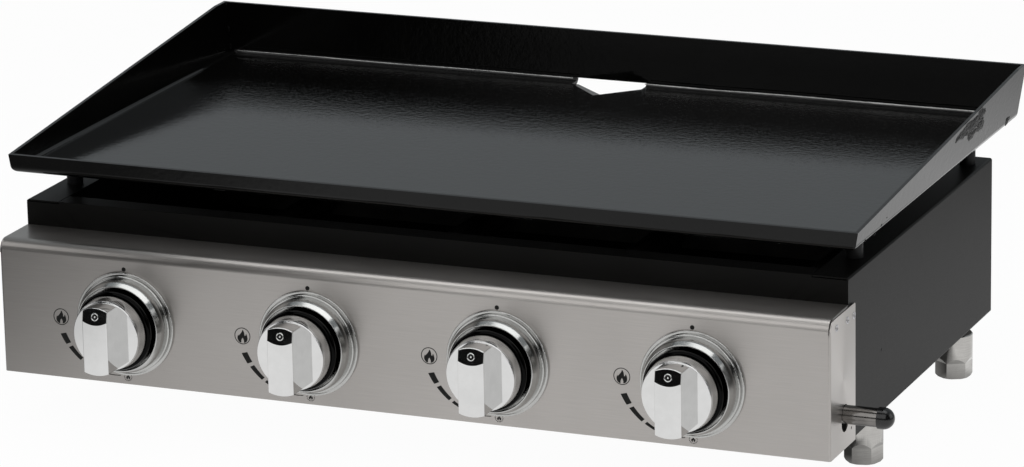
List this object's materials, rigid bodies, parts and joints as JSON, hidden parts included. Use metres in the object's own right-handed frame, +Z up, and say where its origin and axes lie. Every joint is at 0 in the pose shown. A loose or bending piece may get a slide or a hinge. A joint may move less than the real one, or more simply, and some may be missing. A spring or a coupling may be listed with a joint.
{
  "type": "plancha griddle",
  "caption": "Tabletop gas plancha with a lift-off enamelled griddle plate, round control knobs, a rear grease cup and screw-adjustable feet.",
  "frame": {"origin": "middle of the overall footprint, on the surface that the feet stand on", "axes": "+X to the right seen from the controls, +Y from the controls to the back, +Z up"},
  "size_m": [0.7896, 0.5378, 0.2554],
  "materials": {
    "black_enamel": "glossy black vitreous enamel with a slight orange peel",
    "firebox_paint": "matte charcoal heat-resistant paint",
    "stainless": "finely brushed stainless steel",
    "chrome": "bright chrome",
    "foot_metal": "turned satin metal",
    "pad_rubber": "moulded rubber",
    "zinc_steel": "bright zinc plate",
    "black_steel": "black oxide",
    "burner_steel": "plain stainless tube",
    "cup_metal": "satin stainless sheet",
    "brass": "machined brass",
    "ceramic": "unglazed white ceramic",
    "black_plastic": "moulded black plastic",
    "cap_plastic": "glossy black plastic",
    "lead_rubber": "silicone insulation"
  },
  "bodies": {
    "chassis": {"left_side_panel": "firebox_paint", "right_side_panel": "firebox_paint", "front_panel": "firebox_paint", "rear_panel": "firebox_paint", "floor_pan": "firebox_paint", "casing_screws": "zinc_steel", "panel_screws": "zinc_steel", "bezel_screws": "zinc_steel", "foot_studs": "zinc_steel", "foot_locknuts": "black_steel", "control_panel": "stainless", "burner_rail": "burner_steel", "burner_jets": "brass", "spark_igniters": "black_plastic", "ignition_leads": "lead_rubber", "electrode_insulators": "ceramic", "electrode_pins": "zinc_steel", "manifold_pipe": "chrome", "knob_bezel_1": "chrome", "valve_body_1": "brass", "burner_1": "burner_steel", "knob_bezel_2": "chrome", "valve_body_2": "brass", "burner_2": "burner_steel", "knob_bezel_3": "chrome", "valve_body_3": "brass", "burner_3": "burner_steel", "knob_bezel_4": "chrome", "valve_body_4": "brass", "burner_4": "burner_steel"},
    "plate": {"griddle_plate": "black_enamel", "plate_studs": "black_steel"},
    "cup": {"grease_cup": "cup_metal"},
    "cap": {"inlet_cap": "cap_plastic"},
    "plug_1": {"valve_plug_1": "brass", "stem_spring_1": "zinc_steel"},
    "knob_1": {"control_knob_1": "chrome", "valve_stem_1": "zinc_steel"},
    "plug_2": {"valve_plug_2": "brass", "stem_spring_2": "zinc_steel"},
    "knob_2": {"control_knob_2": "chrome", "valve_stem_2": "zinc_steel"},
    "plug_3": {"valve_plug_3": "brass", "stem_spring_3": "zinc_steel"},
    "knob_3": {"control_knob_3": "chrome", "valve_stem_3": "zinc_steel"},
    "plug_4": {"valve_plug_4": "brass", "stem_spring_4": "zinc_steel"},
    "knob_4": {"control_knob_4": "chrome", "valve_stem_4": "zinc_steel"},
    "front_left_pad": {"front_left_foot_pad": "pad_rubber"},
    "front_left_foot": {"front_left_foot": "foot_metal"},
    "front_right_pad": {"front_right_foot_pad": "pad_rubber"},
    "front_right_foot": {"front_right_foot": "foot_metal"},
    "rear_left_pad": {"rear_left_foot_pad": "pad_rubber"},
    "rear_left_foot": {"rear_left_foot": "foot_metal"},
    "rear_right_pad": {"rear_right_foot_pad": "pad_rubber"},
    "rear_right_foot": {"rear_right_foot": "foot_metal"}
  },
  "joints": [
    {"name": "plate_lift", "type": "slide", "parent": "chassis", "child": "plate", "axis": [0, 0, 1], "range_m": [0, 0.12]},
    {"name": "cup_lift", "type": "slide", "parent": "chassis", "child": "cup", "axis": [0, 0, 1], "range_m": [0, 0.015]},
    {"name": "cap_pull", "type": "slide", "parent": "chassis", "child": "cap", "axis": [1, 0, 0], "range_m": [0, 0.02]},
    {"name": "knob_1_turn", "type": "hinge", "parent": "chassis", "child": "plug_1", "pos_m": [-0.26435, -0.2124, 0.0968], "axis": [0, -1, 0], "range_deg": [0, 180]},
    {"name": "knob_1_press", "type": "slide", "parent": "plug_1", "child": "knob_1", "axis": [0, 1, 0], "range_m": [0, 0.0035], "stiffness_N_per_m": 2000, "springref_m": -0.002, "deforming": ["stem_spring_1"]},
    {"name": "knob_2_turn", "type": "hinge", "parent": "chassis", "child": "plug_2", "pos_m": [-0.09685, -0.2124, 0.0968], "axis": [0, -1, 0], "range_deg": [0, 180]},
    {"name": "knob_2_press", "type": "slide", "parent": "plug_2", "child": "knob_2", "axis": [0, 1, 0], "range_m": [0, 0.0035], "stiffness_N_per_m": 2000, "springref_m": -0.002, "deforming": ["stem_spring_2"]},
    {"name": "knob_3_turn", "type": "hinge", "parent": "chassis", "child": "plug_3", "pos_m": [0.07065, -0.2124, 0.0968], "axis": [0, -1, 0], "range_deg": [0, 180]},
    {"name": "knob_3_press", "type": "slide", "parent": "plug_3", "child": "knob_3", "axis": [0, 1, 0], "range_m": [0, 0.0035], "stiffness_N_per_m": 2000, "springref_m": -0.002, "deforming": ["stem_spring_3"]},
    {"name": "knob_4_turn", "type": "hinge", "parent": "chassis", "child": "plug_4", "pos_m": [0.23815, -0.2124, 0.0968], "axis": [0, -1, 0], "range_deg": [0, 180]},
    {"name": "knob_4_press", "type": "slide", "parent": "plug_4", "child": "knob_4", "axis": [0, 1, 0], "range_m": [0, 0.0035], "stiffness_N_per_m": 2000, "springref_m": -0.002, "deforming": ["stem_spring_4"]},
    {"name": "front_left_foot_drop", "type": "slide", "parent": "chassis", "child": "front_left_pad", "axis": [0, 0, -1], "range_m": [0, 0.005]},
    {"name": "front_left_foot_turn", "type": "hinge", "parent": "front_left_pad", "child": "front_left_foot", "pos_m": [-0.3611, -0.0759, 0], "axis": [0, 0, -1], "range_deg": [0, 1440]},
    {"name": "front_right_foot_drop", "type": "slide", "parent": "chassis", "child": "front_right_pad", "axis": [0, 0, -1], "range_m": [0, 0.005]},
    {"name": "front_right_foot_turn", "type": "hinge", "parent": "front_right_pad", "child": "front_right_foot", "pos_m": [0.3349, -0.0759, 0], "axis": [0, 0, -1], "range_deg": [0, 1440]},
    {"name": "rear_left_foot_drop", "type": "slide", "parent": "chassis", "child": "rear_left_pad", "axis": [0, 0, -1], "range_m": [0, 0.005]},
    {"name": "rear_left_foot_turn", "type": "hinge", "parent": "rear_left_pad", "child": "rear_left_foot", "pos_m": [-0.3611, 0.1661, 0], "axis": [0, 0, -1], "range_deg": [0, 1440]},
    {"name": "rear_right_foot_drop", "type": "slide", "parent": "chassis", "child": "rear_right_pad", "axis": [0, 0, -1], "range_m": [0, 0.005]},
    {"name": "rear_right_foot_turn", "type": "hinge", "parent": "rear_right_pad", "child": "rear_right_foot", "pos_m": [0.3349, 0.1661, 0], "axis": [0, 0, -1], "range_deg": [0, 1440]}
  ],
  "couplings": [
    {"joint": "front_left_foot_turn", "follows": "front_left_foot_drop", "rad_per_m": 5026.5},
    {"joint": "front_right_foot_turn", "follows": "front_right_foot_drop", "rad_per_m": 5026.5},
    {"joint": "rear_left_foot_turn", "follows": "rear_left_foot_drop", "rad_per_m": 5026.5},
    {"joint": "rear_right_foot_turn", "follows": "rear_right_foot_drop", "rad_per_m": 5026.5}
  ]
}
